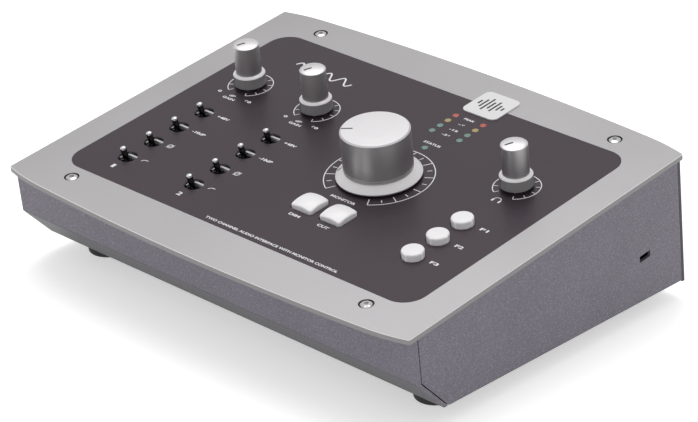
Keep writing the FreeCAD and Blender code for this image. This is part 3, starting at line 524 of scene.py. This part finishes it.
# %% A bar for pointers and marks
def bar(name, stops, width, depth, finish):
    """A thin strip in the XZ plane of its piece that follows (radius, height) stops."""
    rings = []
    for index, (radius, height) in enumerate(stops):
        before, after = stops[max(index - 1, 0)], stops[min(index + 1, len(stops) - 1)]
        along = Vector((after[0] - before[0], 0, after[1] - before[1])).normalized()
        side = Vector((0, width / 2, 0))
        rise = along.cross(Vector((0, 1, 0))) * depth
        corners = ((1, -1), (-1, -1), (-1, 1), (1, 1))
        centre = Vector((radius, 0, height))
        rings.append([tuple(centre + side * across + rise * level) for across, level in corners])
    piece = mesh_from_rings(name, rings, finish)
    piece.modifiers.clear()
    piece.data.polygons.foreach_set("use_smooth", [False] * len(piece.data.polygons))
    return piece


# %% Make the small knobs
knob_top, knob_dome, knob_rim = 20.99, 0.64, 5.5


def crown(radius):
    """Height of a small knob's domed top."""
    return knob_top - knob_dome * (radius / knob_rim) ** 2


barrel_outline = [(5.6, 6.6, 0), (5.75, 7.4, 0), (5.75, 20.1, 0.12)]
barrel_outline += [(knob_rim * share, crown(knob_rim * share), 0)
                   for share in (1.0, 0.85, 0.7, 0.55, 0.4, 0.2, 0.02)]
collar_outline = [(6.3, 1.2, 0), (7.15, 1.2, 0.1), (7.15, 6.0, 0.15), (6.75, 6.5, 0.3), (5.95, 7.0, 0.2),
                  (5.7, 6.9, 0), (5.0, 6.85, 0)]
pointer_rest = math.radians(240)
for knob, joint in (("gain_knob_1", "gain_turn_1"), ("gain_knob_2", "gain_turn_2"),
                    ("headphone_knob", "headphone_turn")):
    place = deck_place(joint)
    place.z = 0
    barrel = turned(knob + "_barrel", barrel_outline, "knob")
    collar = turned(knob + "_collar", collar_outline, "satin")
    line = [(radius, crown(radius)) for radius in (0.3, 1.2, 2.1, 3.0, 3.9)]
    pointer = bar(knob + "_pointer", line, 0.95, 0.03, "dark_ink")
    mark = bar(knob + "_mark", [(7.13, 1.6), (7.13, 6.0)], 0.75, 0.05, "dark_ink")
    for piece in (barrel, collar, pointer, mark):
        stand(piece, place, spin=pointer_rest)
        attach(piece, knob)
    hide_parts(knob)
    print(knob, "stands at", [round(value, 2) for value in place])

# %% [markdown]
# ## The monitor knob
#
# The big knob has a broad skirt that slopes up to the barrel, painted pale as a highlight where it faces
# up, two fine steps at the barrel's foot and a chamfer at the top, painted bright as a highlight. Its
# pointer rests a little past the lower stop.

# %% Make the monitor knob
skirt_outline = [(13.0, 0.7, 0), (18.1, 0.7, 0.1), (18.4, 1.0, 0.15), (18.4, 1.5, 0.25), (17.6, 2.3, 0.6),
                 (15.5, 3.95, 0.4), (15.1, 4.2, 0), (14.0, 4.2, 0)]
monitor_outline = [(14.0, 3.9, 0), (14.75, 4.1, 0), (14.75, 4.6, 0.05), (14.6, 4.65, 0.03),
                   (14.6, 4.85, 0.03), (14.85, 4.9, 0.05), (14.85, 5.5, 0.05), (14.7, 5.55, 0.03),
                   (14.7, 5.75, 0.03), (14.9, 5.8, 0.05), (14.9, 22.05, 0.2), (14.25, 22.68, 0.25),
                   (8.0, 22.78, 20.0), (0.3, 22.8, 0)]
monitor_pointer = math.radians(214)
monitor_place = deck_place("monitor_turn")
monitor_place.z = 0
monitor_knob = turned("monitor_knob_barrel", monitor_outline, "knob", sides=160)
monitor_skirt = turned("monitor_knob_skirt", skirt_outline, "satin", sides=160)
monitor_line = bar("monitor_knob_pointer", [(9.3, 22.77), (14.2, 22.69)], 0.62, 0.05, "dark_ink")
skirt_mark = bar("monitor_knob_mark", [(15.7, 3.82), (17.5, 2.42)], 0.6, 0.05, "dark_ink")
for piece in (monitor_knob, monitor_skirt, monitor_line, skirt_mark):
    stand(piece, monitor_place, spin=monitor_pointer)
    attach(piece, "monitor_knob")
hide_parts("monitor_knob")

# %% [markdown]
# ## Toggle levers
#
# Each lever is a chrome pin with a rounded tip, thickening slightly towards the tip. It leans
# left at rest by half of its joint's swing, and pivots below the deck. Just under the film, two
# pale rails edge the slot that the lever swings in: one behind it and one at its left end.

# %% Make the levers
lever_outline = [(1.0, -1.5, 0), (1.05, 3.2, 0), (1.25, 4.4, 0), (1.35, 8.2, 1.0), (1.45, 9.1, 0.8),
                 (1.35, 10.0, 0.5), (0.80, 10.5, 0.3), (0.12, 10.62, 0)]
lever_joints = [joint for joint in joints if "_switch_" in joint and "rock" not in joint]
for joint in lever_joints:
    facts = joints[joint]
    lever = turned(facts["child"] + "_pin", lever_outline, "chrome", sides=32)
    stand(lever, deck_place(joint), lean=-math.radians(facts["range_deg"][1]) / 2)
    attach(lever, facts["child"])
    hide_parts(facts["child"])

# %% Put two pale rails in each toggle hole
# Each rail: how far it reaches along the hole, its middle across the hole, and its width.
hole_rails = {"rear": ((-2.8, 2.8), 3.0, 1.05), "left": ((-4.1, -3.45), -0.3, 1.8)}
rail_height, rail_depth = -1.15, 0.2
for joint in lever_joints:
    for side, (reach, across, width) in hole_rails.items():
        ends = [(end, rail_height) for end in reach]
        rail = bar(f"{joint}_{side}_rail", ends, width, rail_depth, "frame")
        place = deck_place(joint)
        stand(rail, (place.x, place.y + across, 0))
        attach(rail, "case")

# %% [markdown]
# ## White keys
#
# The square keys are little pillows: upright sides, softly rolled edges and a domed top that is
# lowest at the corners. Rings of a rounded square are stacked up the sides and then drawn in to
# the middle, and each point's height comes from the dome. A round key is the same shape with
# corners as large as the key.

# %% Stack a domed key
def rounded_square(half, corner, arc_steps=7, side_steps=9):
    """Points round a square with rounded corners, spread along its sides as well."""
    points = []
    for quarter in range(4):
        turn = Matrix.Rotation(math.pi / 2 * quarter, 2)
        flat = half - corner
        spots = [(half, -flat + 2 * flat * step / side_steps) for step in range(side_steps)]
        spots += [(flat + corner * math.cos(angle), flat + corner * math.sin(angle))
                  for angle in (math.pi / 2 * step / arc_steps for step in range(arc_steps))]
        points += [tuple(turn @ Vector(spot)) for spot in spots]
    return points


def domed_key(name, half, corner, top, dome, roll, foot=-3.4):
    """A key from its hidden foot to its domed top; dome is how far the top falls at mid side."""
    def height(x, y, drop):
        return top - dome * ((x / half) ** 2 + (y / half) ** 2) - drop

    rings = [[(x, y, foot) for x, y in rounded_square(half, corner)],
             [(x, y, 0.15) for x, y in rounded_square(half, corner)]]
    insets = [roll * (1 - math.cos(math.pi / 2 * step / 6)) for step in range(7)]
    insets += [roll + (half - roll) * share for share in (0.06, 0.15, 0.3, 0.5, 0.7, 0.9)]
    for inset in insets:
        inside = min(inset, roll)
        drop = roll - math.sqrt(max(0.0, roll**2 - (roll - inside) ** 2))
        shrink = half - inset
        ring = rounded_square(shrink, max(corner - inset, 0.2 * shrink))
        rings.append([(x, y, height(x, y, drop)) for x, y in ring])
    return mesh_from_rings(name, rings, "key")


# %% Make the five keys
square_key = {"half": 5.8, "corner": 1.4, "top": 3.1, "dome": 1.0, "roll": 0.5}
round_key = {"half": 4.8, "corner": 4.8, "top": 3.3, "dome": 0.3, "roll": 0.7}
for key in ("dim_button", "cut_button", "function_button_1", "function_button_2", "function_button_3"):
    x, y = box_place(key)
    cap = domed_key(key + "_cap", **(round_key if key.startswith("function") else square_key))
    stand(cap, (x, y, 0))
    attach(cap, key)
    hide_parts(key)
    print(key, "at", round(x, 2), round(y, 2))

# %% [markdown]
# ## Lamps
#
# The lamps are small diffused lenses, nearly flush with the film, unlit. Each is a shallow dome.
# Their columns come from the CAD red lamps, which lie at the two ends of the meter's top row; the rows and
# the status lamp's spot are given.

# %% Make the lamps
def spread(node):
    """The two ends of a group along the drawing's X, as the outer edges of its lamps."""
    low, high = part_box(node)
    return low.x / mm, high.x / mm


lamp_radius = 1.5
lens_outline = [(1.5, -1.0, 0), (1.5, 0.02, 0.1), (1.2, 0.16, 0.2), (0.1, 0.26, 0)]
meter_left, meter_right = (end + side * lamp_radius for end, side in zip(spread("red_lamps"), (1, -1)))
meter_rows = {"red_lamps": [55.4], "yellow_lamps": [50.3], "green_lamps": [45.2, 40.1]}
status_spot = (22.5, 27.3)
for lamps, rows in meter_rows.items():
    colour = lamps.split("_")[0]
    spots = [(column, row) for row in rows for column in (meter_left, meter_right)]
    spots += [status_spot] if lamps == "green_lamps" else []
    for number, spot in enumerate(spots, start=1):
        lens = turned(f"{colour}_lens_{number}", lens_outline, colour, sides=32)
        stand(lens, (*spot, 0))
        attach(lens, "case")
    dress(frame["nodes"][lamps], colour)
    print(lamps, len(spots))

# %% [markdown]
# ## Printing on the film
#
# Legends and scales are screen printed: very thin, opaque and crisp. Each is built flat on the
# deck drawing and collected into one mesh, a few hundredths of a millimetre thick. A scale is an
# arc with ticks, an icon is a few strokes, and words are text that has been turned into faces.

# %% A sheet of print
class Print:
    """Collects flat strokes and words into one thin printed mesh."""

    def __init__(self, height=0.015):
        self.mesh = bmesh.new()
        self.height = height

    def strip(self, points, width, closed=False):
        """A stroke of one width through a list of (x, y) points."""
        count = len(points)
        edges = []
        for index, point in enumerate(points):
            before = points[(index - 1) % count] if closed or index else point
            after = points[(index + 1) % count] if closed or index < count - 1 else point
            along = (Vector(after) - Vector(before)).normalized()
            side = Vector((-along.y, along.x)) * width / 2
            edges.append([self.mesh.verts.new((*(Vector(point) + side * sign) * mm, self.height * mm))
                          for sign in (1, -1)])
        pairs = range(count if closed else count - 1)
        for index in pairs:
            first, second = edges[index], edges[(index + 1) % count]
            self.mesh.faces.new((first[0], first[1], second[1], second[0]))

    def arc(self, middle, radius, start, end, width, steps=72):
        """Part of a circle, between two angles in degrees."""
        turns = [math.radians(start + (end - start) * step / steps) for step in range(steps + 1)]
        points = [(middle[0] + radius * math.cos(turn), middle[1] + radius * math.sin(turn))
                  for turn in turns]
        self.strip(points, width)

    def tick(self, middle, angle, inner, outer, width):
        """A short line that points at the middle of a scale."""
        turn = Vector((math.cos(math.radians(angle)), math.sin(math.radians(angle))))
        centre = Vector(middle[:2])
        self.strip([tuple(centre + turn * inner), tuple(centre + turn * outer)], width)

    def words(self, text, middle, length, height, bold=0.035):
        """Words of a given length and capital height, centred on a place."""
        curve = bpy.data.curves.new("words", "FONT")
        curve.body = text
        curve.offset = bold
        holder = bpy.data.objects.new("words", curve)
        bpy.context.scene.collection.objects.link(holder)
        bpy.context.view_layer.update()
        flat = bpy.data.meshes.new_from_object(holder.evaluated_get(bpy.context.evaluated_depsgraph_get()))
        lows = [min(vertex.co[axis] for vertex in flat.vertices) for axis in (0, 1)]
        highs = [max(vertex.co[axis] for vertex in flat.vertices) for axis in (0, 1)]
        stretch = [length / (highs[0] - lows[0]), height / (highs[1] - lows[1])]
        for vertex in flat.vertices:
            spot = [middle[axis] + (vertex.co[axis] - (lows[axis] + highs[axis]) / 2) * stretch[axis]
                    for axis in (0, 1)]
            vertex.co = (spot[0] * mm, spot[1] * mm, self.height * mm)
        self.mesh.from_mesh(flat)
        bpy.data.objects.remove(holder)
        bpy.data.meshes.remove(flat)

    def done(self, name, finish, plane, body="case"):
        """Lays the print on a plane and lets it ride on a body."""
        mesh = bpy.data.meshes.new(name)
        self.mesh.to_mesh(mesh)
        self.mesh.free()
        piece = bpy.data.objects.new(name, mesh)
        bpy.context.scene.collection.objects.link(piece)
        piece.matrix_world = plane
        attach(dress(piece, finish), body)
        print(name, len(mesh.polygons), "faces")
        return piece


# %% Scales round the knobs
line_width = 0.42
scale_start, scale_end, tick_gap = 240.0, -60.0, 30
small_scale, monitor_scale = 10.1, 23.4
scales = Print()
for joint in ("gain_turn_1", "gain_turn_2", "headphone_turn"):
    middle = deck_place(joint)
    scales.arc(middle, small_scale, scale_start, scale_end, line_width)
    for step in range(11):
        scales.tick(middle, scale_start - tick_gap * step, small_scale - 2.2, small_scale, 0.36)
scales.arc(monitor_place, monitor_scale, scale_start, scale_end, line_width, steps=120)
for step in range(11):
    scales.tick(monitor_place, scale_start - tick_gap * step, 19.2, monitor_scale, line_width)
for step in range(10):
    scales.tick(monitor_place, scale_start - tick_gap / 2 - tick_gap * step, 20.0, 22.1, line_width)
scales.done("printed_scales", "ink", deck_plane)

# %% Words and numbers
legends = Print()
for channel in (1, 2):
    column = deck_place(f"high_pass_switch_{channel}").x
    knob_column = deck_place(f"gain_turn_{channel}").x
    legends.words(str(channel), (column + 0.2, -59.4), 2.4 if channel == 2 else 1.6, 2.6)
    legends.words("-10dB", (column + 11.2, -18.95), 7.8, 1.75)
    legends.words("+48V", (column + 10.7, -3.6), 6.9, 1.65)
    legends.words("0", (knob_column - 7.6, 13.2), 1.9, 1.6)
    legends.words("60", (knob_column + 9.7, 13.1), 4.0, 1.6)
    legends.words("dB", (knob_column + 0.5, 13.05), 3.6, 1.5)
    legends.words("GAIN", (knob_column + 0.5, 10.5), 6.8, 1.6)
legends.words("MONITOR", (23.1, -23.9), 13.6, 1.65)
legends.words("DIM", (14.8, -44.3), 5.9, 1.65)
legends.words("CUT", (30.8, -44.1), 6.2, 1.65)
for number, row in enumerate((-8.7, -24.0, -39.0), start=1):
    legends.words(f"F{number}", (86.9, row), 4.2, 1.9)
legends.words("STATUS", (23.2, 31.2), 9.2, 1.5)
for level, row in (("PEAK", 55.4), ("-6", 50.4), ("-12", 45.2), ("-36", 40.3)):
    legends.words(level, (23.0, row), 1.5 + 1.05 * len(level), 1.35)
legends.words("TWO CHANNEL AUDIO INTERFACE WITH MONITOR CONTROL", (22.3, -66.0), 74.5, 1.5)
legends.done("printed_legends", "ink", deck_plane)

# %% Icons
icons = Print()
for channel in (1, 2):
    column = deck_place(f"high_pass_switch_{channel}").x
    x, y = column + 8.8, -49.1
    slope = [(-1.5, -0.8), (-0.8, 0.2), (-0.2, 0.6), (0.4, 0.7), (1.5, 0.7)]
    icons.strip([(x + across, y + up) for across, up in slope], 0.4)
    x, y = column + 8.9, -34.0
    ring = [(x + 1.25 * math.cos(turn * math.tau / 32), y + 1.25 * math.sin(turn * math.tau / 32))
            for turn in range(32)]
    icons.strip(ring, 0.42, closed=True)
    icons.strip([(x - 1.5, y - 1.5), (x + 1.5, y + 1.5)], 0.36)
x, y = 75.7, 12.0
icons.arc((x, y), 1.8, 0, 180, 0.4, steps=24)
for side in (-1, 1):
    icons.strip([(x + side * 1.75, y + 0.2), (x + side * 1.75, y - 1.5)], 0.95)
wave_left, wave_middle, wave_length, wave_height, wave_count, wave_steps = -75.0, 50.0, 34.0, 2.6, 4, 120
wave = [(wave_left + wave_length * step / wave_steps,
         wave_middle + wave_height * math.sin(math.tau * wave_count * step / wave_steps))
        for step in range(wave_steps + 1)]
icons.strip(wave, 0.8)
icons.done("printed_icons", "ink", deck_plane)

# %% [markdown]
# ## The badge
#
# The white plate carries a plain symbol of level bars, printed dark, which says no more than
# that the box deals with sound.

# %% Print the badge
badge_x, badge_y = box_place("badge")
badge_top = thickness("badge") / mm
badge_print = Print(height=badge_top + 0.015)
for number, half_length in enumerate((1.6, 3.4, 5.2, 3.0, 4.4, 2.2, 1.2)):
    x = badge_x + (number - 3) * 2.1
    badge_print.strip([(x, badge_y - half_length), (x, badge_y + half_length)], 0.95)
badge_print.done("badge_symbol", "dark_ink", deck_plane)

# %% [markdown]
# ## The studio
#
# A plain pale floor, an even pale surrounding light and one large soft lamp high behind the left
# shoulder of the object, so that the shadows of the knobs fall softly to the front and right.

# %% Floor, surroundings and lamps
floor_mesh = bpy.data.meshes.new("floor")
floor_reach = 12.0
floor_corners = [(x * floor_reach, y * floor_reach, 0) for x, y in ((-1, -1), (1, -1), (1, 1), (-1, 1))]
floor_mesh.from_pydata(floor_corners, [], [(0, 1, 2, 3)])
floor = bpy.data.objects.new("floor", floor_mesh)
bpy.context.scene.collection.objects.link(floor)
floor_finish = Finish("pale_floor")
floor_finish.shader.inputs["Emission Color"].default_value = (1, 1, 1, 1)
floor_finish.shader.inputs["Emission Strength"].default_value = 0.50
floor_mesh.materials.append(floor_finish.paint((0.90, 0.90, 0.90, 1), 0.75))

world = bpy.data.worlds.new("studio")
world.use_nodes = True
world.node_tree.nodes["Background"].inputs["Color"].default_value = (1.0, 1.0, 1.0, 1)
world.node_tree.nodes["Background"].inputs["Strength"].default_value = 0.60
bpy.context.scene.world = world


def soft_lamp(name, place, size, power):
    """A square lamp that faces the middle of the deck."""
    data = bpy.data.lights.new(name, "AREA")
    data.size = size
    data.energy = power
    lamp = bpy.data.objects.new(name, data)
    lamp.location = place
    lamp.rotation_mode = "QUATERNION"
    lamp.rotation_quaternion = (field_middle - Vector(place)).to_track_quat("-Z", "Y")
    bpy.context.scene.collection.objects.link(lamp)


soft_lamp("key_lamp", place=(-0.35, 0.25, 1.45), size=1.1, power=9.5)
